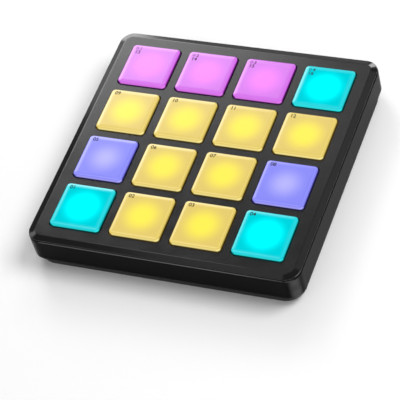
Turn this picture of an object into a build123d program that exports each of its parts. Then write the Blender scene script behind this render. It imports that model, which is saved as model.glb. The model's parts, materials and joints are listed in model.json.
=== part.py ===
from build123d import *
import math
import os

# A pad controller: sixteen square pads in a grid, in a flat square case.
# Millimetres. The origin is on the floor under the case's centre, +X to the right, +Y to the back, +Z up.

# Pads: square silicone blocks that stand out of the face and are held by a flange under it
pad_rows = 4
pad_columns = 4
pad_width = 28.9
pad_spacing = 6.1
pad_stand = 1.6
pad_corner_radius = 2.2
pad_lip = 0.3
pad_lip_softening = 0.1
pad_gap = 0.9
pad_flange_thickness = 1.2
pad_travel = 1.2

# Top cover: a flat face with a wide shallow bevel round it and a tongue that drops inside the wall
face_margin = 7.35
face_bevel_width = 3.4
face_bevel_drop = 0.8
face_edge_softening = 3.0
cover_edge_land = 0.4
cover_edge_softening = 0.3
cover_plate_drop = 0.5
corner_radius = 8.2
least_corner_radius = 0.3
tongue_thickness = 1.4
tongue_depth = 2.4
fit_clearance = 0.25

# Side frame: an upright wall that stands out a little from the cover, with a stepped top edge that
# leaves a shadow groove under the cover, a lower edge that draws in towards the floor, and webs in
# the foot of its corners that close them over the rounder corners of the bottom plate
wall_proud = 0.3
wall_thickness = 2.4
wall_height = 16.4
wall_edge_break = 0.4
wall_foot_inset = 1.3
wall_foot_height = 2.5
wall_web_height = 2.5
wall_web_radius = 9.4
groove_height = 0.9
groove_depth = 1.2

# Bottom plate, which stands in from the wall and has rounder corners
base_inset = 1.7
base_corner_radius = 10.5
base_thickness = 3.2
base_edge_break = 0.2
base_tab_length = 92.0
base_tab_thickness = 1.2
base_tab_height = 2.5

# Feet: rubber discs glued into shallow seats
foot_radius = 6.0
foot_stand = 0.6
foot_seat = 0.6
foot_inset = 12.3
foot_clearance = 0.2
foot_edge_break = 0.3

# Case posts and screws, one in each corner
post_radius = 2.4
post_wall_gap = 1.9
post_clearance = 0.6
case_screw_radius = 1.1
case_screw_length = 9.0
case_screw_head_radius = 2.1
case_screw_head_height = 1.2
case_screw_head_recess = 0.2
case_screw_head_clearance = 0.3
screw_hole_clearance = 0.25
screw_thread_clearance = 0.05
screw_run_out = 1.0
screw_drive_width = 0.5
screw_drive_depth = 0.7
screw_drive_span_share = 0.62

# Board posts and screws, one at each crossing of the gaps between pads
board_post_radius = 2.0
board_post_clearance = 0.3
board_screw_radius = 0.85
board_screw_length = 5.5
board_screw_head_radius = 1.7
board_screw_head_height = 1.0

# Light frame: a white grid whose ribs keep each pad's light in its own cell
rib_width = 2.0
rib_clearance = 0.6
rim_thickness = 1.2
hub_wall = 0.8

# Pad mat: one silicone sheet with a springy square rim under each pad
mat_thickness = 0.8
mat_rim_thickness = 1.4
mat_rim_inset = 0.7
light_headroom = 1.3

# Sensor film and circuit board
film_thickness = 0.3
board_thickness = 1.6
board_wall_gap = 2.0

# Lights on top of the board, one under each pad
light_width = 5.0
light_height = 1.6
light_window_clearance = 0.7
light_lens_radius = 2.0
light_lens_depth = 0.3

# Chips under the board
microcontroller_width = 7.0
microcontroller_height = 0.9
multiplexer_length = 9.9
multiplexer_width = 3.9
multiplexer_height = 1.6
crystal_length = 3.2
crystal_width = 2.5
crystal_height = 0.8
regulator_length = 6.5
regulator_width = 3.5
regulator_height = 1.6
capacitor_length = 2.0
capacitor_width = 1.25
capacitor_height = 0.9
capacitors_in_row = 4
chip_gap = 3.0

# Power and data socket in the back wall
socket_width = 8.94
socket_height = 3.26
socket_length = 7.35
socket_wall = 0.3
socket_corner_radius = 1.2
socket_recess = 0.8
socket_hole_clearance = 0.35
socket_block_length = 2.0
socket_tongue_width = 6.69
socket_tongue_thickness = 0.7
socket_tongue_length = 4.6

# Function button in the back wall, and its switch
button_offset = 26.0
button_width = 6.0
button_height = 2.8
button_corner_radius = 0.8
button_clearance = 0.3
button_flange_reach = 0.8
button_flange_thickness = 0.8
button_stem_width = 2.4
button_stem_length = 1.2
button_travel = 0.5
switch_width = 6.0
switch_height = 3.6
switch_depth = 4.0
plunger_radius = 1.0
plunger_stand = 1.0
plunger_seat = 0.8
plunger_clearance = 0.15

# Every cut runs past the solid by this much
overrun = 1.0

# Plan sizes that follow from the pads
pad_pitch = pad_width + pad_spacing
pad_flange_reach = (pad_spacing - rib_width) / 2 - rib_clearance
pad_flange_width = pad_width + 2 * pad_flange_reach
pad_flange_radius = pad_corner_radius + pad_flange_reach
cell_width = pad_flange_width + 2 * rib_clearance
cell_radius = pad_flange_radius + rib_clearance
grid_width = (pad_columns - 1) * pad_pitch
grid_depth = (pad_rows - 1) * pad_pitch
case_border = pad_width + 2 * (face_margin + face_bevel_width + wall_proud)
case_width = grid_width + case_border
case_depth = grid_depth + case_border

# Insets from the wall's outline
tongue_inset = wall_thickness + fit_clearance
board_inset = wall_thickness + board_wall_gap
wall_back = case_depth / 2
wall_inner_back = wall_back - wall_thickness

# Levels, from the floor up to the face
base_bottom = foot_stand
base_top = base_bottom + base_thickness
wall_top = base_top + wall_height
cover_edge = wall_top + groove_height
face_level = cover_edge + cover_edge_land + face_bevel_drop
cover_under = cover_edge - cover_plate_drop
pad_top = face_level + pad_stand

# Levels, from the cover's underside down to the board
flange_under = cover_under - pad_flange_thickness
pad_lowest = flange_under - pad_travel
board_top = pad_lowest - light_headroom - light_height
mat_bottom = board_top + film_thickness
mat_top = mat_bottom + mat_thickness
board_bottom = board_top - board_thickness

# Places in plan
quarter_signs = [(-1, -1), (1, -1), (-1, 1), (1, 1)]
corner_x = case_width / 2 - corner_radius
corner_y = case_depth / 2 - corner_radius
diagonal_share = math.sqrt(0.5)
post_reach = (corner_radius - wall_thickness - post_radius - post_wall_gap) * diagonal_share
post_centres = [(sx * (corner_x + post_reach), sy * (corner_y + post_reach)) for sx, sy in quarter_signs]
foot_x = case_width / 2 - base_inset - foot_inset
foot_y = case_depth / 2 - base_inset - foot_inset
foot_names = ["foot_front_left", "foot_front_right", "foot_back_left", "foot_back_right"]


def grid_places(columns, rows):
    """Places one pad pitch apart, centred on the case, row by row from the front left."""
    return [
        ((column - (columns - 1) / 2) * pad_pitch, (row - (rows - 1) / 2) * pad_pitch)
        for row in range(rows)
        for column in range(columns)
    ]


pad_centres = grid_places(pad_columns, pad_rows)
rib_crossings = grid_places(pad_columns - 1, pad_rows - 1)


# Shared shapes

def prism(outline, low, high, at=(0, 0)):
    """Raise an outline from one level to another, centred on a place in plan."""
    return Pos(at[0], at[1], low) * extrude(outline, high - low)


def rear_prism(outline, x, z, front, back):
    """Push an outline drawn in X and Z from y = front to y = back."""
    return Pos(x, back, z) * (Plane.XZ * extrude(outline, back - front))


def case_slab(inset, low, high):
    """A slab of the wall's outline, drawn in by the inset, with its corners round the same centres."""
    radius = max(corner_radius - inset, least_corner_radius)
    return prism(RectangleRounded(case_width - 2 * inset, case_depth - 2 * inset, radius), low, high)


def post(radius, low, high, at):
    """A round post, or the hole for one."""
    return prism(Circle(radius), low, high, at)


def cell_slab(low, high):
    """A slab that covers all the cells of the light frame and its rim."""
    border = cell_width + 2 * rim_thickness
    outline = RectangleRounded(grid_width + border, grid_depth + border, cell_radius + rim_thickness)
    return prism(outline, low, high)


def post_passages(low, high, board_holes):
    """What a layer leaves free: the case posts, and the board posts or their screws."""
    below = low - overrun
    above = high + overrun
    case_holes = [post(post_radius + post_clearance, below, above, at) for at in post_centres]
    return case_holes + [post(board_holes, below, above, at) for at in rib_crossings]


def light_windows(low, high):
    """Square windows round the lights, one under each pad."""
    width = light_width + 2 * light_window_clearance
    return [prism(Rectangle(width, width), low - overrun, high + overrun, at) for at in pad_centres]


# Case

def top_cover():
    """The cover: bevelled face, pad openings, tongue, case posts and board posts."""
    shell = case_slab(wall_proud, cover_edge, face_level)
    face = shell.faces().sort_by(Axis.Z)[-1]
    shell = chamfer(face.edges(), face_bevel_width, face_bevel_drop, reference=face)
    shell = fillet(shell.edges().group_by(Axis.Z)[2], cover_edge_softening)
    shell = fillet(shell.edges().group_by(Axis.Z)[-1], face_edge_softening)
    shell += case_slab(tongue_inset, cover_under, cover_edge)
    tongue_low = wall_top - tongue_depth
    tongue = case_slab(tongue_inset, tongue_low, cover_under)
    shell += tongue - case_slab(tongue_inset + tongue_thickness, tongue_low - overrun, cover_under)
    shell += [post(post_radius, base_top, cover_under, at) for at in post_centres]
    shell += [post(board_post_radius, board_top, cover_under, at) for at in rib_crossings]
    width = pad_width + 2 * pad_gap
    opening = RectangleRounded(width, width, pad_corner_radius + pad_gap)
    shell -= [prism(opening, cover_under - overrun, face_level + overrun, at) for at in pad_centres]
    case_thread = case_screw_radius + screw_thread_clearance
    case_thread_end = case_screw_seat() + case_screw_length + screw_run_out
    shell -= [post(case_thread, base_top - overrun, case_thread_end, at) for at in post_centres]
    board_thread = board_screw_radius + screw_thread_clearance
    board_thread_end = board_bottom + board_screw_length + screw_thread_clearance
    shell -= [post(board_thread, board_top - overrun, board_thread_end, at) for at in rib_crossings]
    return shell


def side_frame():
    """The wall round the case, with the openings for the socket and the button in its back."""
    outer = case_slab(0, base_top, wall_top)
    underside = outer.faces().sort_by(Axis.Z)[0]
    outer = chamfer(underside.edges(), wall_foot_inset, wall_foot_height, reference=underside)
    outer = chamfer(outer.edges().group_by(Axis.Z)[-1], wall_edge_break)
    step = case_slab(groove_depth, wall_top, cover_edge)
    web_top = base_top + wall_web_height
    width = case_width - 2 * wall_thickness
    depth = case_depth - 2 * wall_thickness
    between_webs = RectangleRounded(width, depth, wall_web_radius)
    inside = case_slab(wall_thickness, web_top, cover_edge + overrun)
    inside += prism(between_webs, base_top - overrun, web_top)
    wall = outer + step - inside
    front = wall_inner_back - overrun
    back = wall_back + overrun
    wall -= rear_prism(socket_outline(socket_hole_clearance), 0, socket_level(), front, back)
    wall -= rear_prism(button_outline(button_clearance), button_offset, button_level(), front, back)
    return wall


def bottom_plate():
    """The plate under the case, with tabs that locate the wall and seats for the feet and screws."""
    outline = RectangleRounded(case_width - 2 * base_inset, case_depth - 2 * base_inset, base_corner_radius)
    plate = prism(outline, base_bottom, base_top)
    plate = chamfer(plate.edges().group_by(Axis.Z)[0], base_edge_break)
    tab_x = case_width / 2 - tongue_inset - base_tab_thickness / 2
    tab_y = case_depth / 2 - tongue_inset - base_tab_thickness / 2
    tab_top = base_top + base_tab_height
    along_y = Rectangle(base_tab_thickness, base_tab_length)
    along_x = Rectangle(base_tab_length, base_tab_thickness)
    for side in (-1, 1):
        plate += prism(along_y, base_top, tab_top, (side * tab_x, 0))
        plate += prism(along_x, base_top, tab_top, (0, side * tab_y))
    below = base_bottom - overrun
    foot_hole = foot_radius + foot_clearance
    plate -= [post(foot_hole, below, base_bottom + foot_seat, at) for at in foot_centres()]
    head_hole = case_screw_head_radius + case_screw_head_clearance
    plate -= [post(head_hole, below, case_screw_seat(), at) for at in post_centres]
    screw_hole = case_screw_radius + screw_hole_clearance
    plate -= [post(screw_hole, below, base_top + overrun, at) for at in post_centres]
    return plate


def foot_centres():
    """Where the four feet stand."""
    return [(sx * foot_x, sy * foot_y) for sx, sy in quarter_signs]


def foot(at):
    """One foot: a disc with a broken lower edge."""
    disc = post(foot_radius, 0, base_bottom + foot_seat, at)
    return chamfer(disc.edges().group_by(Axis.Z)[0], foot_edge_break)


# Fasteners

def case_screw_seat():
    """The level that the case screws' heads press on."""
    return base_bottom + case_screw_head_recess + case_screw_head_height


def screw(radius, length, head_radius, head_height, seat, at):
    """A screw driven from below: its head hangs under the seat and has a cross in it."""
    head_bottom = seat - head_height
    body = post(head_radius, head_bottom, seat, at) + post(radius, seat, seat + length, at)
    span = 2 * head_radius * screw_drive_span_share
    slots = Rectangle(span, screw_drive_width) + Rectangle(screw_drive_width, span)
    return body - prism(slots, head_bottom - overrun, head_bottom + screw_drive_depth, at)


def case_screw(at):
    """One screw through the bottom plate into a case post."""
    head = case_screw_head_radius, case_screw_head_height
    return screw(case_screw_radius, case_screw_length, *head, case_screw_seat(), at)


def board_screw(at):
    """One screw through the board into a board post."""
    head = board_screw_head_radius, board_screw_head_height
    return screw(board_screw_radius, board_screw_length, *head, board_bottom, at)


# Pads and the layers under them

def pad(at):
    """One pad: a block with a softened lip round its top and a flange at its foot."""
    block = prism(RectangleRounded(pad_width, pad_width, pad_corner_radius), cover_under, pad_top, at)
    block = chamfer(block.edges().group_by(Axis.Z)[-1], pad_lip)
    levels = block.edges().group_by(Axis.Z)
    block = fillet(levels[2] + levels[-1], pad_lip_softening)
    flange = RectangleRounded(pad_flange_width, pad_flange_width, pad_flange_radius)
    return block + prism(flange, flange_under, cover_under, at)


def pad_mat():
    """The mat: a sheet with a light window and a springy rim under each pad."""
    outer_width = pad_flange_width - 2 * mat_rim_inset
    outer_radius = pad_flange_radius - mat_rim_inset
    inner_width = outer_width - 2 * mat_rim_thickness
    inner_radius = max(outer_radius - mat_rim_thickness, least_corner_radius)
    rim = RectangleRounded(outer_width, outer_width, outer_radius)
    rim -= RectangleRounded(inner_width, inner_width, inner_radius)
    sheet = cell_slab(mat_bottom, mat_top)
    sheet -= post_passages(mat_bottom, mat_top, board_post_radius + board_post_clearance)
    sheet -= light_windows(mat_bottom, mat_top)
    return sheet + [prism(rim, mat_top, flange_under, at) for at in pad_centres]


def light_frame():
    """The light frame: ribs between the pads, with a hub round each board post."""
    frame = cell_slab(mat_top, cover_under)
    cell = RectangleRounded(cell_width, cell_width, cell_radius)
    frame -= [prism(cell, mat_top - overrun, cover_under + overrun, at) for at in pad_centres]
    hole = board_post_radius + board_post_clearance
    frame += [post(hole + hub_wall, mat_top, cover_under, at) for at in rib_crossings]
    return frame - post_passages(mat_top, cover_under, hole)


def sensor_film():
    """The pressure film, which lies on the board under the mat."""
    sheet = cell_slab(board_top, mat_bottom)
    sheet -= post_passages(board_top, mat_bottom, board_post_radius + board_post_clearance)
    return sheet - light_windows(board_top, mat_bottom)


def main_board():
    """The circuit board, notched round the case posts."""
    board = case_slab(board_inset, board_bottom, board_top)
    return board - post_passages(board_bottom, board_top, board_screw_radius + screw_hole_clearance)


# Parts on the board

def pad_light(at):
    """One light: a square body with a round well in its top."""
    body = prism(Rectangle(light_width, light_width), board_top, board_top + light_height, at)
    well_low = board_top + light_height - light_lens_depth
    return body - post(light_lens_radius, well_low, board_top + light_height + overrun, at)


def chip(length, width, height, at):
    """A chip body that hangs under the board."""
    return prism(Rectangle(length, width), board_bottom - height, board_bottom, at)


def under_pad(column, row):
    """The centre of the pad in a column and row, counted from the front left."""
    return pad_centres[row * pad_columns + column]


def microcontroller():
    """The microcontroller, under the second pad of the third row."""
    return chip(microcontroller_width, microcontroller_width, microcontroller_height, under_pad(1, 2))


def multiplexers():
    """Two chips that read the pads in turn."""
    size = multiplexer_length, multiplexer_width, multiplexer_height
    return [chip(*size, under_pad(column, 1)) for column in (1, 2)]


def crystal():
    """The clock crystal, beside the microcontroller."""
    x, y = under_pad(1, 2)
    aside = (microcontroller_width + crystal_length) / 2 + chip_gap
    return chip(crystal_length, crystal_width, crystal_height, (x - aside, y))


def voltage_regulator():
    """The regulator, near the socket."""
    return chip(regulator_length, regulator_width, regulator_height, under_pad(2, 2))


def chip_capacitors():
    """Two rows of capacitors, in front of and behind the microcontroller."""
    x, y = under_pad(1, 2)
    aside = (microcontroller_width + capacitor_width) / 2 + chip_gap
    pitch = capacitor_length + chip_gap
    first = x - pitch * (capacitors_in_row - 1) / 2
    size = capacitor_length, capacitor_width, capacitor_height
    return [
        chip(*size, (first + pitch * number, y + side * aside))
        for side in (-1, 1)
        for number in range(capacitors_in_row)
    ]


# Socket

def socket_outline(growth):
    """The socket's rounded outline, grown or shrunk all round."""
    width = socket_width + 2 * growth
    height = socket_height + 2 * growth
    return RectangleRounded(width, height, socket_corner_radius + growth)


def socket_level():
    """The level of the socket's centre: its shell hangs on the board."""
    return board_bottom - socket_height / 2


def socket_mouth():
    """How far back the socket's mouth lies."""
    return wall_back - socket_recess


def usb_socket_shell():
    """The metal shell, open at the back of the case."""
    mouth = socket_mouth()
    inner = mouth - socket_length
    level = socket_level()
    shell = rear_prism(socket_outline(0), 0, level, inner, mouth)
    return shell - rear_prism(socket_outline(-socket_wall), 0, level, inner - overrun, mouth + overrun)


def usb_socket_tongue():
    """The moulded block at the shell's inner end, with the contact tongue on it."""
    inner = socket_mouth() - socket_length
    block_end = inner + socket_block_length
    block = rear_prism(socket_outline(-socket_wall), 0, socket_level(), inner, block_end)
    tongue = Rectangle(socket_tongue_width, socket_tongue_thickness)
    return block + rear_prism(tongue, 0, socket_level(), block_end, block_end + socket_tongue_length)


# Function button

def button_outline(growth):
    """The button's rounded outline, grown all round."""
    width = button_width + 2 * growth
    height = button_height + 2 * growth
    return RectangleRounded(width, height, button_corner_radius + growth)


def button_level():
    """The level of the button's centre, in line with its switch."""
    return board_bottom - switch_height / 2


def plunger_face():
    """How far back the switch plunger's face lies at rest."""
    return wall_inner_back - button_flange_thickness - button_stem_length


def function_button():
    """The button: its face is flush with the wall and its flange bears on the wall inside."""
    level = button_level()
    flange_front = wall_inner_back - button_flange_thickness
    cap = rear_prism(button_outline(0), button_offset, level, wall_inner_back, wall_back)
    flange = button_outline(button_flange_reach)
    cap += rear_prism(flange, button_offset, level, flange_front, wall_inner_back)
    stem = Rectangle(button_stem_width, button_stem_width)
    return cap + rear_prism(stem, button_offset, level, plunger_face(), flange_front)


def switch_housing():
    """The switch under the board, with a blind bore for its plunger."""
    front_face = plunger_face() - plunger_stand
    size = Rectangle(switch_width, switch_height)
    body = rear_prism(size, button_offset, button_level(), front_face - switch_depth, front_face)
    bore_end = front_face - plunger_seat - 2 * button_travel
    bore = Circle(plunger_radius + plunger_clearance)
    return body - rear_prism(bore, button_offset, button_level(), bore_end, front_face + overrun)


def switch_plunger():
    """The plunger, which the button's stem pushes into the switch."""
    face = plunger_face()
    inner_end = face - plunger_stand - plunger_seat
    return rear_prism(Circle(plunger_radius), button_offset, button_level(), inner_end, face)


# Nodes

def nodes():
    """Every node's name with its solid, or its group of solids."""
    found = {
        "top_cover": top_cover(),
        "side_frame": side_frame(),
        "bottom_plate": bottom_plate(),
        "pad_mat": pad_mat(),
        "light_frame": light_frame(),
        "sensor_film": sensor_film(),
        "main_board": main_board(),
        "pad_lights": [pad_light(at) for at in pad_centres],
        "microcontroller": microcontroller(),
        "multiplexers": multiplexers(),
        "crystal": crystal(),
        "voltage_regulator": voltage_regulator(),
        "chip_capacitors": chip_capacitors(),
        "usb_socket_shell": usb_socket_shell(),
        "usb_socket_tongue": usb_socket_tongue(),
        "function_button": function_button(),
        "switch_housing": switch_housing(),
        "switch_plunger": switch_plunger(),
        "case_screws": [case_screw(at) for at in post_centres],
        "board_screws": [board_screw(at) for at in rib_crossings],
    }
    found |= {f"pad_{number:02}": pad(at) for number, at in enumerate(pad_centres, 1)}
    found |= {name: foot(at) for name, at in zip(foot_names, foot_centres())}
    return found


os.makedirs("parts", exist_ok=True)
for name, solid in nodes().items():
    shape = Compound(children=solid) if isinstance(solid, list) else solid
    export_step(shape, os.path.join("parts", name + ".step"))
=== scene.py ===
import json
import math

import bpy
from mathutils import Matrix, Vector

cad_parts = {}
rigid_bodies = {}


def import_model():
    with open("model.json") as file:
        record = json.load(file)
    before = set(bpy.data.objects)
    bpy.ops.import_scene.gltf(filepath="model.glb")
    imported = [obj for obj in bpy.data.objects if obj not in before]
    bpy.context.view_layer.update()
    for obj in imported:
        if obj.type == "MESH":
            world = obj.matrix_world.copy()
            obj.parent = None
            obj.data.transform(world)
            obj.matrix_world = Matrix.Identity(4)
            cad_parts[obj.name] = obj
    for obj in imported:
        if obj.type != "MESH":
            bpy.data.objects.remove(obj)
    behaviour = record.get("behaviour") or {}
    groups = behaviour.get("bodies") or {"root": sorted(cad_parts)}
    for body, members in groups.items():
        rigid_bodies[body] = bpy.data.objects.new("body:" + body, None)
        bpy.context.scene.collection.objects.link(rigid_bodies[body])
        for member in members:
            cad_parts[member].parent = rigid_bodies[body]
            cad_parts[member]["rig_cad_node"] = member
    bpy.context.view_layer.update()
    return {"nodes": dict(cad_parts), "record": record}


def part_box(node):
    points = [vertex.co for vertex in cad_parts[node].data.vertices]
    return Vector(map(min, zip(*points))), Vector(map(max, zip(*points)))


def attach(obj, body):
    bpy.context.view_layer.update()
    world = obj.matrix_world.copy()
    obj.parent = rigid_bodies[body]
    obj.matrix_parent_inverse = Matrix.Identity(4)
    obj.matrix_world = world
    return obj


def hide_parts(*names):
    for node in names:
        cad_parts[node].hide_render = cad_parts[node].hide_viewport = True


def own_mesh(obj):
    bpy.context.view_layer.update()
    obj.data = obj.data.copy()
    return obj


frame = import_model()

MM = 0.001
METRE = 1000.0

# Sizes that the source has and the boxes don't show

pad_width = 28.9 * MM
pad_corner = 2.2 * MM
pad_half = pad_width / 2
light_lens_radius = 2.0 * MM
capacitor_length = 2.0 * MM
capacitors_in_row = 4

# Modelling: how near two points are one, and how far over the sheet a mat rim starts

weld_reach = 0.001 * MM
rim_start = 0.05 * MM

# Places read from the frame

pads_across = 4
pad_count = pads_across * pads_across
pad_names = [f"pad_{number:02}" for number in range(1, pad_count + 1)]
back_row = pad_names[-pads_across:]
first_low, first_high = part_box("pad_01")
second_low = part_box("pad_02")[0]
pad_pitch = second_low.x - first_low.x
pad_top = first_high.z
face_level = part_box("top_cover")[1].z
case_centre = Vector((0.0, 0.0, face_level))
capacitor_low, capacitor_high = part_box("chip_capacitors")
rim_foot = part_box("light_frame")[0].z + rim_start
record_slots = {entry["node"]: entry["material_slot"] for entry in frame["record"]["subparts"]}

# Camera: the point it looks at on the face, and how it stands to that point

camera_target = Vector((9.66 * MM, -35.39 * MM, face_level))
camera_azimuth = math.radians(32.3745)
camera_elevation = math.radians(48.5426)
camera_roll = math.radians(16.93)
camera_distance = 1096.70 * MM
camera_lens = 184.69
camera_sensor = 36.0

# Lamps: direction from the case, distance, width, height and power

lamp_plan = {
    "back_softbox": ((-0.506, 0.710, 0.489), 1.6, 0.55, 0.82, 8.5),
    "back_spot": ((-0.074, 0.845, 0.530), 1.6, 0.28, 0.34, 2.6),
    "left_spot": ((-0.662, 0.281, 0.695), 1.6, 0.34, 0.34, 1.0),
    "back_card": ((-0.312, 0.881, 0.355), 1.6, 0.45, 0.28, 0.28),
    "left_card": ((-0.675, 0.583, 0.452), 1.6, 0.11, 0.22, 0.12),
    "left_edge_card": ((-0.561, 0.565, 0.605), 1.6, 0.16, 0.16, 0.40),
    "back_edge_card": ((-0.342, 0.764, 0.548), 1.6, 0.16, 0.16, 0.10),
    "face_card": ((-0.253, 0.626, 0.737), 1.6, 0.28, 0.20, 0.15),
    "right_card": ((0.070, 0.600, 0.800), 1.6, 0.35, 0.35, 0.2),
    "front_card": ((-0.385, -0.732, 0.562), 1.6, 0.44, 0.30, 1.15),
    "front_edge_card": ((-0.369, 0.346, 0.862), 1.6, 0.26, 0.26, 0.60),
    "top_card": ((-0.310, 0.137, 0.940), 1.6, 0.25, 0.25, 0.12),
    "overhead_softbox": ((0.550, 0.200, 0.810), 1.6, 0.86, 0.86, 18.7),
    "camera_softbox": ((0.300, -0.600, 0.740), 1.8, 1.60, 1.20, 6.4),
}

# Room: white near the horizon, dimmer overhead, and a pale floor

horizon_light = 1.0
overhead_light = 0.25
horizon_rise = 0.05
overhead_rise = 0.25
floor_reach = 30.0
floor_colour = (0.88, 0.88, 0.88, 1.0)

# Pad light: colours from the bright middle outwards and down the wall, painted shade at the wall's foot, and
# of the silicone itself

pad_glows = {
    "pad_yellow": {
        "Core": (1.02, 0.88, 0.055, 1.0),
        "Rim": (0.775, 0.585, 0.125, 1.0),
        "Wall": (1.08, 0.91, 0.33, 1.0),
        "Foot shade": (0.05, 0.03, 0.004, 1.0),
        "Body": (0.03, 0.025, 0.01, 1.0),
        "Core radius": 3.0,
        "Rim radius": 14.0,
        "Middle gloss": 1.0,
    },
    "pad_cyan": {
        "Core": (0.0, 1.35, 1.35, 1.0),
        "Rim": (0.0, 0.64, 0.71, 1.0),
        "Wall": (0.03, 0.87, 0.87, 1.0),
        "Foot shade": (0.0, 0.03, 0.03, 1.0),
        "Body": (0.0, 0.025, 0.03, 1.0),
        "Core radius": 3.0,
        "Rim radius": 14.0,
        "Middle gloss": 0.0,
    },
    "pad_magenta": {
        "Core": (0.92, 0.19, 0.98, 1.0),
        "Rim": (0.65, 0.145, 0.82, 1.0),
        "Wall": (0.80, 0.20, 0.92, 1.0),
        "Foot shade": (0.02, 0.002, 0.03, 1.0),
        "Body": (0.03, 0.01, 0.03, 1.0),
        "Core radius": 3.0,
        "Rim radius": 14.0,
        "Middle gloss": 1.0,
    },
    "pad_violet": {
        "Core": (0.46, 0.45, 1.02, 1.0),
        "Rim": (0.225, 0.23, 0.93, 1.0),
        "Wall": (0.44, 0.42, 1.12, 1.0),
        "Foot shade": (0.01, 0.008, 0.04, 1.0),
        "Body": (0.015, 0.015, 0.03, 1.0),
        "Core radius": 0.0,
        "Rim radius": 13.0,
        "Middle gloss": 1.0,
    },
}

# Pad rim: its gloss, its rounded crown and a painted highlight line, in millimetres in from the pad's edge

gloss_inner = 3.0
gloss_outer = 0.8
crown_width = 2.6
crown_drop = 0.03
crown_power = 2.0
highlight_line_place = 1.05
highlight_line_reach = 0.30
highlight_line_share = 0.5

# Pad wall: how far below the top it begins and where painted shade darkens its foot, and how a slanting view
# deepens it

wall_start = 0.15 * MM
wall_full = 0.40 * MM
foot_shade_start = 1.3 * MM
foot_shade_full = 2.1 * MM
fade_start = 0.25
fade_end = 0.66
fade_share = 0.40
slant_open = 0.44
slant_full = 0.66
slant_depth = 1.9

# Grain, stains, wear and the painted corner highlight: where each starts and where it is full

grain_range = (0.35, 0.75)
cloud_range = (0.3, 0.7)
cloud_detail = 4.0
edge_range = (0.995, 0.93)
edge_samples = 6
patch_range = (0.3, 0.6)
patch_shares = (0.7, 1.0)
chamfer_rise = math.sqrt(0.5)
chamfer_range = (0.2, 0.1)
corner_highlight_range = (0.05, 0.25)
slope_range = (0.9995, 0.99)
drawn_line_stretch = (0.05, 1.0, 1.0)
drawn_line_range = (0.3, 0.7)
stain_size = 2.5
stain_detail = 4.0
stain_range = (0.45, 0.7)

# Patterns on the inner pieces, in millimetres, or in shares of one repeat

repeat_middle_share = 0.5
finger_range = (0.22, 0.28)
finger_patch_range = (0.8, 1.0)
track_width = 0.14
track_softness = 0.1
track_length = 11.0
track_pitch = 1.3
track_offset_share = 0.37
track_spread_size = 16.0
track_spread_detail = 1.0
track_spread_range = (0.42, 0.52)
lens_softness = 0.2
tinned_range = (0.55, 0.65)

# Depth of the reliefs

case_relief = 0.002 * MM
metal_relief = 0.001 * MM
finger_relief = 0.01 * MM
track_relief = 0.03 * MM
chip_relief = 0.004 * MM

# Numbers printed on the pads

number_size = 3.4 * MM
number_boldness = 0.05 * MM
number_thickness = 0.03 * MM
number_from_left = 2.3 * MM
number_from_back = 3.6 * MM
number_line_step = 2.9 * MM
small_number_size = 2.8 * MM
ring_radius = 0.70 * MM
ring_line = 0.24 * MM
ring_sides = 32
ring_lift = 0.95 * MM
ring_to_number = 1.2 * MM

COLOUR = "NodeSocketColor"
NUMBER = "NodeSocketFloat"


# Colour and node helpers

def grey(level, tint=1.0):
    """A grey, a little bluer or warmer by its tint."""
    return (level, level, level * tint, 1.0)


def add_node(tree, kind, inputs=None, **settings):
    """Add a node, set its options, and fill its inputs with values or other nodes' sockets."""
    node = tree.nodes.new(kind)
    for name, value in settings.items():
        setattr(node, name, value)
    for key, value in (inputs or {}).items():
        if isinstance(value, bpy.types.NodeSocket):
            tree.links.new(value, node.inputs[key])
        else:
            node.inputs[key].default_value = value
    return node


def math_node(tree, operation, first, second=0.0):
    """One Math node's result."""
    return add_node(tree, "ShaderNodeMath", {0: first, 1: second}, operation=operation).outputs[0]


def vector_node(tree, operation, first, second=(0.0, 0.0, 0.0)):
    """One Vector Math node's result."""
    node = add_node(tree, "ShaderNodeVectorMath", {0: first, 1: second}, operation=operation)
    return node.outputs["Value" if operation in ("LENGTH", "DOT_PRODUCT") else "Vector"]


def ramp_node(tree, value, start, end, low=0.0, high=1.0):
    """A value eased from low at start to high at end."""
    inputs = {"Value": value, "From Min": start, "From Max": end, "To Min": low, "To Max": high}
    node = add_node(tree, "ShaderNodeMapRange", inputs, interpolation_type="SMOOTHSTEP")
    return node.outputs["Result"]


def blend_node(tree, share, first, second):
    """Two colours blended by a share."""
    inputs = {"Fac": share, "Color1": first, "Color2": second}
    return add_node(tree, "ShaderNodeMixRGB", inputs).outputs["Color"]


def noise_node(tree, place, size, detail=3.0):
    """Noise whose features are about size across, in millimetres."""
    scale = math_node(tree, "DIVIDE", METRE, size)
    inputs = {"Vector": place, "Scale": scale, "Detail": detail}
    return add_node(tree, "ShaderNodeTexNoise", inputs).outputs["Fac"]


def object_place(tree):
    """The surface point in the part's own frame, in metres."""
    return add_node(tree, "ShaderNodeTexCoord").outputs["Object"]


def axes_of(tree, vector):
    """A vector's three parts."""
    return add_node(tree, "ShaderNodeSeparateXYZ", {"Vector": vector}).outputs


def new_group(name, inputs, outputs):
    """Start a shader node group from named inputs with defaults, and named outputs."""
    group = bpy.data.node_groups.new(name, "ShaderNodeTree")
    for label, (kind, default) in inputs.items():
        socket = group.interface.new_socket(label, in_out="INPUT", socket_type=kind)
        socket.default_value = default
    for label, kind in outputs.items():
        group.interface.new_socket(label, in_out="OUTPUT", socket_type=kind)
    given = group.nodes.new("NodeGroupInput").outputs
    result = group.nodes.new("NodeGroupOutput").inputs
    return group, given, result


def use_group(tree, group, inputs):
    """Put a node group into a tree with its own values, and give its outputs."""
    node = tree.nodes.new("ShaderNodeGroup")
    node.node_tree = group
    for label, value in inputs.items():
        if isinstance(value, bpy.types.NodeSocket):
            tree.links.new(value, node.inputs[label])
        else:
            node.inputs[label].default_value = value
    return node.outputs


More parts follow.
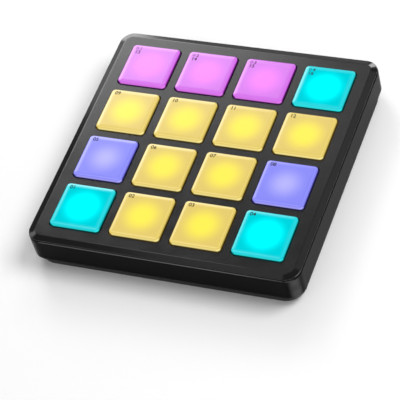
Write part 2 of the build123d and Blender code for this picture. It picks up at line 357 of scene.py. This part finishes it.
def new_finish(name, plain):
    """A material with one Principled shader, whose plain values sit on its own sockets."""
    finish = bpy.data.materials.new(name)
    finish.use_nodes = True
    tree = finish.node_tree
    tree.nodes.clear()
    shader = add_node(tree, "ShaderNodeBsdfPrincipled", plain)
    add_node(tree, "ShaderNodeOutputMaterial", {"Surface": shader.outputs["BSDF"]})
    return finish, tree, shader.inputs


def bump_into(tree, sockets, height, distance):
    """Give a shader a relief of this height map, distance deep."""
    bump = add_node(tree, "ShaderNodeBump", {"Height": height, "Distance": distance, "Strength": 1.0})
    tree.links.new(bump.outputs["Normal"], sockets["Normal"])


# Shared effects

def make_moulded_grain():
    """Fine eroded grain over a faint cloudiness, for moulded plastic and rubber."""
    inputs = {
        "Colour": (COLOUR, (0.03, 0.03, 0.03, 1.0)),
        "Pale": (COLOUR, (0.05, 0.05, 0.05, 1.0)),
        "Grain size": (NUMBER, 0.3),
        "Cloud size": (NUMBER, 14.0),
        "Smooth": (NUMBER, 0.3),
        "Rough": (NUMBER, 0.4),
    }
    outputs = {"Colour": COLOUR, "Roughness": NUMBER, "Height": NUMBER}
    group, given, result = new_group("moulded_grain", inputs, outputs)
    place = object_place(group)
    grain = noise_node(group, place, given["Grain size"])
    cloud = noise_node(group, place, given["Cloud size"], cloud_detail)
    speck = ramp_node(group, grain, *grain_range)
    rough = ramp_node(group, cloud, *cloud_range, given["Smooth"], given["Rough"])
    group.links.new(blend_node(group, speck, given["Colour"], given["Pale"]), result["Colour"])
    group.links.new(rough, result["Roughness"])
    group.links.new(grain, result["Height"])
    return group


def make_handling_wear():
    """Where handling tells on a case, rubbed edges, polished chamfers and slopes, and where a painted
    highlight goes on upright corners.
    """
    inputs = {"Edge reach": (NUMBER, 0.3), "Patch size": (NUMBER, 6.0)}
    outputs = {"Edge": NUMBER, "Chamfer": NUMBER, "Corner highlight": NUMBER, "Slope": NUMBER}
    group, given, result = new_group("edge_wear_and_corner_highlight", inputs, outputs)
    reach = math_node(group, "MULTIPLY", given["Edge reach"], MM)
    rounded = add_node(group, "ShaderNodeBevel", {"Radius": reach}, samples=edge_samples).outputs["Normal"]
    normal = add_node(group, "ShaderNodeNewGeometry").outputs["Normal"]
    likeness = vector_node(group, "DOT_PRODUCT", rounded, normal)
    edge = ramp_node(group, likeness, *edge_range)
    patches = noise_node(group, object_place(group), given["Patch size"])
    patch = ramp_node(group, patches, *patch_range, *patch_shares)
    group.links.new(math_node(group, "MULTIPLY", edge, patch), result["Edge"])
    rise = axes_of(group, normal)["Z"]
    from_chamfer = math_node(group, "ABSOLUTE", math_node(group, "SUBTRACT", rise, chamfer_rise))
    group.links.new(ramp_node(group, from_chamfer, *chamfer_range), result["Chamfer"])
    squares = axes_of(group, vector_node(group, "MULTIPLY", normal, normal))
    diagonal = math_node(group, "MULTIPLY", squares["X"], squares["Y"])
    # Painted highlight on the upright rounded corners, broken up by the wear patches.
    corner_highlight_mask = ramp_node(group, diagonal, *corner_highlight_range)
    group.links.new(math_node(group, "MULTIPLY", corner_highlight_mask, patch), result["Corner highlight"])
    group.links.new(ramp_node(group, rise, *slope_range), result["Slope"])
    return group


def make_plated_metal():
    """Plated metal: faint drawn lines along X, and cloudy stains."""
    inputs = {
        "Colour": (COLOUR, (0.6, 0.6, 0.6, 1.0)),
        "Stain": (COLOUR, (0.4, 0.4, 0.4, 1.0)),
        "Line size": (NUMBER, 0.08),
        "Smooth": (NUMBER, 0.2),
        "Rough": (NUMBER, 0.4),
    }
    outputs = {"Colour": COLOUR, "Roughness": NUMBER, "Height": NUMBER}
    group, given, result = new_group("plated_metal", inputs, outputs)
    place = object_place(group)
    drawn = add_node(group, "ShaderNodeMapping", {"Vector": place, "Scale": drawn_line_stretch})
    lines = noise_node(group, drawn.outputs["Vector"], given["Line size"])
    stain = ramp_node(group, noise_node(group, place, stain_size, stain_detail), *stain_range)
    rough = ramp_node(group, lines, *drawn_line_range, given["Smooth"], given["Rough"])
    group.links.new(blend_node(group, stain, given["Colour"], given["Stain"]), result["Colour"])
    group.links.new(rough, result["Roughness"])
    group.links.new(lines, result["Height"])
    return group


def make_pad_cell():
    """Where a point lies in its cell of the pad grid, in millimetres."""
    outputs = {"Radius": NUMBER, "Inside": NUMBER, "Across": NUMBER}
    group, given, result = new_group("pad_cell", {}, outputs)
    pitches = (1.0 / pad_pitch, 1.0 / pad_pitch, 0.0)
    grid = add_node(group, "ShaderNodeMapping", {"Vector": object_place(group), "Scale": pitches})
    cell = vector_node(group, "FRACTION", grid.outputs["Vector"])
    cell = vector_node(group, "SUBTRACT", cell, (repeat_middle_share, repeat_middle_share, 0.0))
    span = pad_pitch / MM
    cell = vector_node(group, "MULTIPLY", cell, (span, span, 0.0))
    straight = (pad_half - pad_corner) / MM
    past = vector_node(group, "SUBTRACT", vector_node(group, "ABSOLUTE", cell), (straight, straight, 0.0))
    round_part = vector_node(group, "LENGTH", vector_node(group, "MAXIMUM", past))
    past_axes = axes_of(group, past)
    flat_part = math_node(group, "MINIMUM", math_node(group, "MAXIMUM", past_axes["X"], past_axes["Y"]))
    outline = math_node(group, "ADD", round_part, flat_part)
    group.links.new(vector_node(group, "LENGTH", cell), result["Radius"])
    group.links.new(math_node(group, "SUBTRACT", pad_corner / MM, outline), result["Inside"])
    group.links.new(axes_of(group, cell)["X"], result["Across"])
    return group


def make_pad_glow():
    """Light inside a pad: brightest in its middle, dimmer to its rim, a painted highlight line near the rim,
    and painted shade at the foot of its wall.
    """
    inputs = {label: (COLOUR, (0.5, 0.5, 0.5, 1.0)) for label in ("Core", "Rim", "Wall", "Foot shade", "Body")}
    inputs |= {"Core radius": (NUMBER, 3.0), "Rim radius": (NUMBER, 14.0), "Middle gloss": (NUMBER, 1.0)}
    outputs = {"Glow": COLOUR, "Body": COLOUR, "Side": NUMBER, "Gloss": NUMBER, "Crown": NUMBER}
    group, given, result = new_group("pad_glow", inputs, outputs)
    cell = use_group(group, pad_cell, {})
    below_top = math_node(group, "SUBTRACT", pad_top, axes_of(group, object_place(group))["Z"])
    to_rim = ramp_node(group, cell["Radius"], given["Core radius"], given["Rim radius"])
    # Painted highlight: a pale line in the glow a little inside the pad's edge.
    from_highlight_line = math_node(group, "ABSOLUTE", math_node(group, "SUBTRACT", cell["Inside"], highlight_line_place))
    on_highlight_line = ramp_node(group, from_highlight_line, highlight_line_reach, 0.0, 0.0, highlight_line_share)
    on_wall = ramp_node(group, below_top, wall_start, wall_full)
    # Painted shade: the glow and the silicone's own colour darken towards the wall's foot.
    on_foot_shade = ramp_node(group, below_top, foot_shade_start, foot_shade_full)
    glow = blend_node(group, to_rim, given["Core"], given["Rim"])
    glow = blend_node(group, on_highlight_line, glow, given["Wall"])
    glow = blend_node(group, on_wall, glow, given["Wall"])
    glow = blend_node(group, on_foot_shade, glow, given["Foot shade"])
    group.links.new(glow, result["Glow"])
    group.links.new(on_wall, result["Side"])
    group.links.new(blend_node(group, on_foot_shade, given["Body"], given["Foot shade"]), result["Body"])
    gloss = ramp_node(group, cell["Inside"], gloss_inner, gloss_outer, given["Middle gloss"], 1.0)
    group.links.new(gloss, result["Gloss"])
    short_of_crown = math_node(group, "MAXIMUM", math_node(group, "SUBTRACT", crown_width, cell["Inside"]))
    drop = math_node(group, "MULTIPLY", math_node(group, "POWER", short_of_crown, crown_power), -crown_drop)
    group.links.new(drop, result["Crown"])
    return group


def make_sensor_fingers():
    """Interleaved printed fingers, one patch under each pad."""
    group, given, result = new_group("sensor_fingers", {"Finger pitch": (NUMBER, 1.6)}, {"Finger": NUMBER})
    cell = use_group(group, pad_cell, {})
    turns = math_node(group, "FRACT", math_node(group, "DIVIDE", cell["Across"], given["Finger pitch"]))
    from_middle = math_node(group, "ABSOLUTE", math_node(group, "SUBTRACT", turns, repeat_middle_share))
    finger = ramp_node(group, from_middle, *finger_range)
    patch = ramp_node(group, cell["Inside"], *finger_patch_range)
    group.links.new(math_node(group, "MULTIPLY", finger, patch), result["Finger"])
    return group


def make_board_tracks():
    """Copper tracks under a board's lacquer: long runs with short crossings."""
    group, given, result = new_group("board_tracks", {}, {"Track": NUMBER})
    place = add_node(group, "ShaderNodeMapping", {"Vector": object_place(group), "Scale": (METRE,) * 3})
    inputs = {
        "Vector": place.outputs["Vector"],
        "Scale": 1.0,
        "Mortar Size": track_width,
        "Mortar Smooth": track_softness,
        "Brick Width": track_length,
        "Row Height": track_pitch,
    }
    track = add_node(group, "ShaderNodeTexBrick", inputs, offset=track_offset_share).outputs["Fac"]
    patches = noise_node(group, object_place(group), track_spread_size, track_spread_detail)
    spread = ramp_node(group, patches, *track_spread_range)
    group.links.new(math_node(group, "MULTIPLY", track, spread), result["Track"])
    return group


moulded_grain = make_moulded_grain()
edge_wear_and_corner_highlight = make_handling_wear()
plated_metal = make_plated_metal()
pad_cell = make_pad_cell()
pad_glow = make_pad_glow()
sensor_fingers = make_sensor_fingers()
board_tracks = make_board_tracks()


# Finishes

def plastic_finish(name, colour, pale, grain, smooth, rough, relief, plain=None):
    """Moulded plastic or rubber with its grain."""
    finish, tree, sockets = new_finish(name, plain or {})
    values = {"Colour": colour, "Pale": pale, "Grain size": grain, "Smooth": smooth, "Rough": rough}
    skin = use_group(tree, moulded_grain, values)
    tree.links.new(skin["Colour"], sockets["Base Color"])
    tree.links.new(skin["Roughness"], sockets["Roughness"])
    bump_into(tree, sockets, skin["Height"], relief)
    return finish


def case_finish(name, colour, pale, smooth, rough, polished, worn_edge, corner_highlight, chamfer_gloss, plain):
    """Satin black plastic, polished on slopes and chamfers, rubbed paler along its edges, with a painted
    highlight on its upright corners.
    """
    finish, tree, sockets = new_finish(name, plain)
    values = {"Colour": colour, "Pale": pale, "Smooth": smooth, "Rough": rough}
    skin = use_group(tree, moulded_grain, values)
    wear_and_highlight = use_group(tree, edge_wear_and_corner_highlight, {})
    worn_and_highlit = blend_node(tree, wear_and_highlight["Edge"], skin["Colour"], worn_edge)
    # Painted highlight: the upright corners are lightened.
    worn_and_highlit = blend_node(tree, wear_and_highlight["Corner highlight"], worn_and_highlit, corner_highlight)
    tree.links.new(worn_and_highlit, sockets["Base Color"])
    tree.links.new(math_node(tree, "MULTIPLY", wear_and_highlight["Chamfer"], chamfer_gloss), sockets["Coat Weight"])
    roughness = ramp_node(tree, wear_and_highlight["Slope"], 0.0, 1.0, skin["Roughness"], polished)
    tree.links.new(roughness, sockets["Roughness"])
    bump_into(tree, sockets, skin["Height"], case_relief)
    return finish


def pad_finish(name):
    """Translucent silicone lit from inside, with walls that deepen at a slant and a glossy rim."""
    plain = {"Roughness": 0.5, "Emission Strength": 1.0, "Specular IOR Level": 0.0, "Coat Roughness": 0.2}
    finish, tree, sockets = new_finish(name, plain)
    light = use_group(tree, pad_glow, pad_glows[name])
    crown = add_node(tree, "ShaderNodeBump", {"Height": light["Crown"], "Distance": MM}).outputs["Normal"]
    facing = add_node(tree, "ShaderNodeLayerWeight", {"Blend": 0.5}).outputs["Facing"]
    slant = math_node(tree, "MULTIPLY", facing, light["Side"])
    fade = ramp_node(tree, slant, fade_start, fade_end, 0.0, fade_share)
    glow = blend_node(tree, fade, light["Glow"], grey(0.0))
    depth = ramp_node(tree, slant, slant_open, slant_full, 1.0, slant_depth)
    deep = add_node(tree, "ShaderNodeGamma", {"Color": glow, "Gamma": depth}).outputs["Color"]
    tree.links.new(deep, sockets["Emission Color"])
    tree.links.new(light["Body"], sockets["Base Color"])
    tree.links.new(light["Gloss"], sockets["Coat Weight"])
    tree.links.new(crown, sockets["Normal"])
    tree.links.new(crown, sockets["Coat Normal"])
    return finish


def metal_finish(name, colour, stain, smooth, rough):
    """Plated metal with drawn lines and stains."""
    finish, tree, sockets = new_finish(name, {"Metallic": 1.0})
    values = {"Colour": colour, "Stain": stain, "Smooth": smooth, "Rough": rough}
    skin = use_group(tree, plated_metal, values)
    tree.links.new(skin["Colour"], sockets["Base Color"])
    tree.links.new(skin["Roughness"], sockets["Roughness"])
    bump_into(tree, sockets, skin["Height"], metal_relief)
    return finish


def film_finish(name, carbon, silver):
    """Sensor film: matt carbon print with silver fingers under each pad."""
    finish, tree, sockets = new_finish(name, {})
    skin = use_group(tree, moulded_grain, {"Colour": carbon, "Pale": carbon, "Smooth": 0.5, "Rough": 0.65})
    finger = use_group(tree, sensor_fingers, {})["Finger"]
    tree.links.new(blend_node(tree, finger, skin["Colour"], silver), sockets["Base Color"])
    tree.links.new(skin["Roughness"], sockets["Roughness"])
    bump_into(tree, sockets, finger, finger_relief)
    return finish


def board_finish(name, lacquer, track):
    """Circuit board: green lacquer over copper tracks."""
    finish, tree, sockets = new_finish(name, {"Coat Weight": 0.3, "Coat Roughness": 0.2})
    skin = use_group(tree, moulded_grain, {"Colour": lacquer, "Pale": lacquer, "Smooth": 0.3, "Rough": 0.45})
    run = use_group(tree, board_tracks, {})["Track"]
    tree.links.new(blend_node(tree, run, skin["Colour"], track), sockets["Base Color"])
    tree.links.new(skin["Roughness"], sockets["Roughness"])
    bump_into(tree, sockets, run, track_relief)
    return finish


def light_finish(name, body, phosphor):
    """Lights: a white moulding with yellow phosphor under its lens."""
    finish, tree, sockets = new_finish(name, {"Coat Weight": 0.5})
    skin = use_group(tree, moulded_grain, {"Colour": body, "Pale": body, "Smooth": 0.25, "Rough": 0.4})
    cell = use_group(tree, pad_cell, {})
    lens_edge = light_lens_radius / MM
    lens = ramp_node(tree, cell["Radius"], lens_edge, lens_edge - lens_softness)
    tree.links.new(blend_node(tree, lens, skin["Colour"], phosphor), sockets["Base Color"])
    tree.links.new(skin["Roughness"], sockets["Roughness"])
    bump_into(tree, sockets, skin["Height"], chip_relief)
    return finish


def capacitor_finish(name, body, tin):
    """Chip capacitors: a tan ceramic body with tinned ends."""
    finish, tree, sockets = new_finish(name, {})
    skin = use_group(tree, moulded_grain, {"Colour": body, "Pale": body, "Grain size": 0.15})
    pitch = (capacitor_high.x - capacitor_low.x - capacitor_length) / (capacitors_in_row - 1)
    across = math_node(tree, "SUBTRACT", axes_of(tree, object_place(tree))["X"], capacitor_low.x)
    turns = math_node(tree, "FRACT", math_node(tree, "DIVIDE", across, pitch))
    along = math_node(tree, "MULTIPLY", turns, pitch / MM)
    middle = capacitor_length / MM / 2
    from_middle = math_node(tree, "ABSOLUTE", math_node(tree, "SUBTRACT", along, middle))
    tinned = ramp_node(tree, from_middle, *tinned_range)
    tree.links.new(blend_node(tree, tinned, skin["Colour"], tin), sockets["Base Color"])
    tree.links.new(tinned, sockets["Metallic"])
    tree.links.new(skin["Roughness"], sockets["Roughness"])
    bump_into(tree, sockets, skin["Height"], chip_relief)
    return finish


def dress(finish, *nodes):
    """Give CAD nodes a finish."""
    for node in nodes:
        slots = frame["nodes"][node].data.materials
        slots.clear()
        slots.append(finish)


cover_finish = case_finish(
    "cover_black", colour=grey(0.004, 1.08), pale=grey(0.006, 1.08), smooth=0.18, rough=0.22, polished=0.10,
    worn_edge=grey(0.012), corner_highlight=grey(0.006), chamfer_gloss=0.0, plain={"Specular IOR Level": 0.4})
# The frame's upright corners carry a strong painted highlight.
frame_finish = case_finish(
    "frame_black", colour=grey(0.002, 1.1), pale=grey(0.003, 1.1), smooth=0.24, rough=0.30, polished=0.27,
    worn_edge=grey(0.010), corner_highlight=grey(0.075), chamfer_gloss=1.0,
    plain={"Specular IOR Level": 0.03, "Coat Roughness": 0.15})
base_finish = plastic_finish(
    "base_black", colour=grey(0.040), pale=grey(0.060), grain=0.4, smooth=0.40, rough=0.50,
    relief=0.004 * MM, plain={"Specular IOR Level": 0.03})
button_finish = plastic_finish(
    "button_black", colour=grey(0.010), pale=grey(0.018), grain=0.2, smooth=0.35, rough=0.45,
    relief=0.004 * MM, plain={"Specular IOR Level": 0.3})
ink_finish = plastic_finish(
    "number_ink", colour=grey(0.010, 1.1), pale=grey(0.022, 1.1), grain=0.1, smooth=0.5, rough=0.6,
    relief=0.002 * MM, plain={"Specular IOR Level": 0.1})
rubber_finish = plastic_finish(
    "foot_rubber", colour=grey(0.015), pale=grey(0.030), grain=0.5, smooth=0.70, rough=0.85,
    relief=0.020 * MM)
chip_finish = plastic_finish(
    "chip_black", colour=grey(0.020), pale=grey(0.040), grain=0.08, smooth=0.45, rough=0.60,
    relief=0.006 * MM)
white_finish = plastic_finish(
    "white_plastic", colour=grey(0.78, 0.97), pale=grey(0.84, 0.97), grain=0.3, smooth=0.40, rough=0.55,
    relief=0.004 * MM)
silicone_finish = plastic_finish(
    "clear_silicone", colour=grey(0.66, 1.02), pale=grey(0.74, 1.02), grain=0.6, smooth=0.45, rough=0.60,
    relief=0.010 * MM, plain={"Transmission Weight": 0.35})
plated_finish = metal_finish(
    "bright_metal", colour=grey(0.66, 0.97), stain=grey(0.50, 0.95), smooth=0.18, rough=0.34)
screw_finish = metal_finish("screw_steel", colour=grey(0.26), stain=grey(0.15, 0.9), smooth=0.28, rough=0.46)
sensor_finish = film_finish("film_grey", carbon=grey(0.045), silver=grey(0.42))
lacquer_finish = board_finish(
    "board_green", lacquer=(0.010, 0.085, 0.035, 1.0), track=(0.030, 0.170, 0.060, 1.0))
lens_finish = light_finish("light_white", body=grey(0.80, 0.98), phosphor=(0.85, 0.62, 0.12, 1.0))
ceramic_finish = capacitor_finish("capacitor_tan", body=(0.36, 0.24, 0.13, 1.0), tin=grey(0.62, 0.98))
pad_finishes = {name: pad_finish(name) for name in pad_glows}

dress(cover_finish, "top_cover")
dress(frame_finish, "side_frame")
dress(base_finish, "bottom_plate")
dress(button_finish, "function_button")
dress(rubber_finish, "foot_front_left", "foot_front_right", "foot_back_left", "foot_back_right")
dress(chip_finish, "microcontroller", "multiplexers", "voltage_regulator")
dress(chip_finish, "usb_socket_tongue", "switch_housing")
dress(white_finish, "light_frame", "switch_plunger")
dress(silicone_finish, "pad_mat")
dress(plated_finish, "usb_socket_shell", "crystal")
dress(screw_finish, "case_screws", "board_screws")
dress(sensor_finish, "sensor_film")
dress(lacquer_finish, "main_board")
dress(lens_finish, "pad_lights")
dress(ceramic_finish, "chip_capacitors")
for pad in pad_names:
    dress(pad_finishes[record_slots[pad]], pad)


# Mat: a soft sheet that stays, with a rim under each pad

def cut_from_mat(name, above):
    """A copy of the mat's shape, with only what lies above, or below, the foot of its rims."""
    bpy.ops.object.select_all(action="DESELECT")
    node = frame["nodes"]["pad_mat"]
    node.select_set(True)
    bpy.context.view_layer.objects.active = node
    bpy.ops.object.duplicate()
    piece = bpy.context.object
    piece.name = name
    bpy.ops.object.parent_clear(type="CLEAR_KEEP_TRANSFORM")
    del piece["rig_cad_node"]
    bpy.ops.object.mode_set(mode="EDIT")
    bpy.ops.mesh.select_all(action="SELECT")
    bpy.ops.mesh.remove_doubles(threshold=weld_reach)
    bpy.ops.mesh.bisect(
        plane_co=(0.0, 0.0, rim_foot), plane_no=(0.0, 0.0, 1.0), threshold=weld_reach, use_fill=True,
        clear_inner=above, clear_outer=not above)
    bpy.ops.mesh.select_all(action="SELECT")
    bpy.ops.mesh.normals_make_consistent(inside=False)
    bpy.ops.object.mode_set(mode="OBJECT")
    return piece


def settle_mat(piece):
    """Let a piece of the mat ride with the case, and stand for the CAD node."""
    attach(piece, "case")
    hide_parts("pad_mat")


def nearest_pad(piece):
    """The pad over a piece of the mat."""
    corners = [Vector(corner_highlight_mask) for corner_highlight_mask in piece.bound_box]
    middle = sum(corners, Vector()) / len(corners)
    return min(pad_names, key=lambda pad: (sum(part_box(pad), Vector()) / 2 - middle).to_2d().length)


sheet = cut_from_mat("mat_sheet", False)
cut_from_mat("mat_rim", True)
bpy.ops.object.mode_set(mode="EDIT")
bpy.ops.mesh.separate(type="LOOSE")
bpy.ops.object.mode_set(mode="OBJECT")
rims = list(bpy.context.selected_objects)
settle_mat(sheet)
for rim in rims:
    pad = nearest_pad(rim)
    rim.name = f"mat_rim_{pad[-2:]}"
    settle_mat(rim)
    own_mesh(rim)


# Numbers

def print_place(pad, left, back):
    """A place on a pad's top, left and back being its distance from the pad's edges."""
    low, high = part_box(pad)
    middle = (low + high) / 2
    return Vector((middle.x - pad_half + left, middle.y + pad_half - back, pad_top))


def settle_print(pad, place):
    """Put the printed piece that was just made in its place on a pad, with that place in its mesh."""
    piece = bpy.context.object
    piece.location = place
    bpy.ops.object.transform_apply(location=True, rotation=True, scale=True)
    bpy.ops.object.mode_set(mode="EDIT")
    bpy.ops.mesh.select_all(action="SELECT")
    bpy.ops.mesh.remove_doubles(threshold=weld_reach)
    bpy.ops.mesh.normals_make_consistent(inside=False)
    bpy.ops.object.mode_set(mode="OBJECT")
    piece.data.materials.append(ink_finish)
    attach(piece, pad)


def print_number(pad, name, number, size, left, back):
    """A number printed on a pad."""
    bpy.ops.object.select_all(action="DESELECT")
    bpy.ops.object.text_add()
    piece = bpy.context.object
    piece.name = name
    piece.data.body = number
    piece.data.size = size
    piece.data.offset = number_boldness
    piece.data.extrude = number_thickness / 2
    bpy.ops.object.convert(target="MESH")
    settle_print(pad, print_place(pad, left, back))


def print_ring(pad, name, left, back):
    """A small flat ring printed on a pad."""
    bpy.ops.object.select_all(action="DESELECT")
    bpy.ops.mesh.primitive_circle_add(
        vertices=ring_sides, radius=ring_radius + ring_line / 2, fill_type="NGON")
    bpy.context.object.name = name
    bpy.ops.object.mode_set(mode="EDIT")
    bpy.ops.mesh.select_all(action="SELECT")
    bpy.ops.mesh.inset(thickness=ring_line)
    bpy.ops.mesh.delete(type="FACE")
    bpy.ops.mesh.select_all(action="SELECT")
    bpy.ops.mesh.extrude_region_move(TRANSFORM_OT_translate={"value": (0.0, 0.0, number_thickness)})
    bpy.ops.mesh.select_all(action="SELECT")
    bpy.ops.transform.translate(value=(0.0, 0.0, -number_thickness / 2))
    bpy.ops.object.mode_set(mode="OBJECT")
    settle_print(pad, print_place(pad, left, back))


for number, pad in enumerate(pad_names, start=1):
    second_line = number_line_step if pad in back_row else 0.0
    back = number_from_back + second_line
    print_number(pad, f"number_{number:02}", f"{number:02}", number_size, number_from_left, back)
for place, pad in enumerate(back_row, start=1):
    middle = number_from_left + ring_radius
    print_ring(pad, f"ring_{place}", middle, number_from_back - ring_lift)
    left = middle + ring_radius / 2 + ring_to_number
    print_number(pad, f"upper_number_{place}", str(place), small_number_size, left, number_from_back)


# Room, lamps and camera

def add_floor():
    """A pale floor that holds the shadow."""
    bpy.ops.object.select_all(action="DESELECT")
    bpy.ops.mesh.primitive_plane_add(size=floor_reach)
    floor = bpy.context.object
    floor.name = "floor"
    finish = bpy.data.materials.new("floor_pale")
    finish.use_nodes = True
    tree = finish.node_tree
    tree.nodes.clear()
    matt = add_node(tree, "ShaderNodeBsdfDiffuse", {"Color": floor_colour}).outputs["BSDF"]
    add_node(tree, "ShaderNodeOutputMaterial", {"Surface": matt})
    floor.data.materials.append(finish)


def add_room():
    """Room light, white near the horizon and dimmer overhead."""
    room = bpy.data.worlds.new("room")
    room.use_nodes = True
    tree = room.node_tree
    tree.nodes.clear()
    rise = axes_of(tree, add_node(tree, "ShaderNodeTexCoord").outputs["Generated"])["Z"]
    strength = ramp_node(tree, rise, horizon_rise, overhead_rise, horizon_light, overhead_light)
    light = add_node(tree, "ShaderNodeBackground", {"Strength": strength})
    add_node(tree, "ShaderNodeOutputWorld", {"Surface": light.outputs["Background"]})
    bpy.context.scene.world = room


def add_lamp(name, direction, distance, width, height, power):
    """A soft rectangular lamp that faces the case."""
    lamp = bpy.data.lights.new(name, "AREA")
    lamp.shape = "RECTANGLE"
    lamp.size = width
    lamp.size_y = height
    lamp.energy = power
    holder = bpy.data.objects.new(name, lamp)
    bpy.context.scene.collection.objects.link(holder)
    away = Vector(direction).normalized()
    turn = away.to_track_quat("Z", "Y").to_matrix().to_4x4()
    holder.matrix_world = Matrix.Translation(case_centre + away * distance) @ turn


def add_camera():
    """The photograph's view: azimuth, elevation and roll about the point it looks at."""
    level = math.cos(camera_elevation)
    ahead = Vector((
        -math.sin(camera_azimuth) * level, math.cos(camera_azimuth) * level, -math.sin(camera_elevation)))
    level_right = Vector((math.cos(camera_azimuth), math.sin(camera_azimuth), 0.0))
    level_up = level_right.cross(ahead)
    right = level_right * math.cos(camera_roll) - level_up * math.sin(camera_roll)
    up = level_up * math.cos(camera_roll) + level_right * math.sin(camera_roll)
    view = bpy.data.cameras.new("camera")
    view.sensor_width = camera_sensor
    view.lens = camera_lens
    holder = bpy.data.objects.new("camera", view)
    bpy.context.scene.collection.objects.link(holder)
    turn = Matrix((right, up, -ahead)).transposed().to_4x4()
    holder.matrix_world = Matrix.Translation(camera_target - ahead * camera_distance) @ turn
    bpy.context.scene.camera = holder


add_floor()
add_room()
for name, plan in lamp_plan.items():
    add_lamp(name, *plan)
add_camera()
bpy.context.scene.view_settings.view_transform = "Standard"
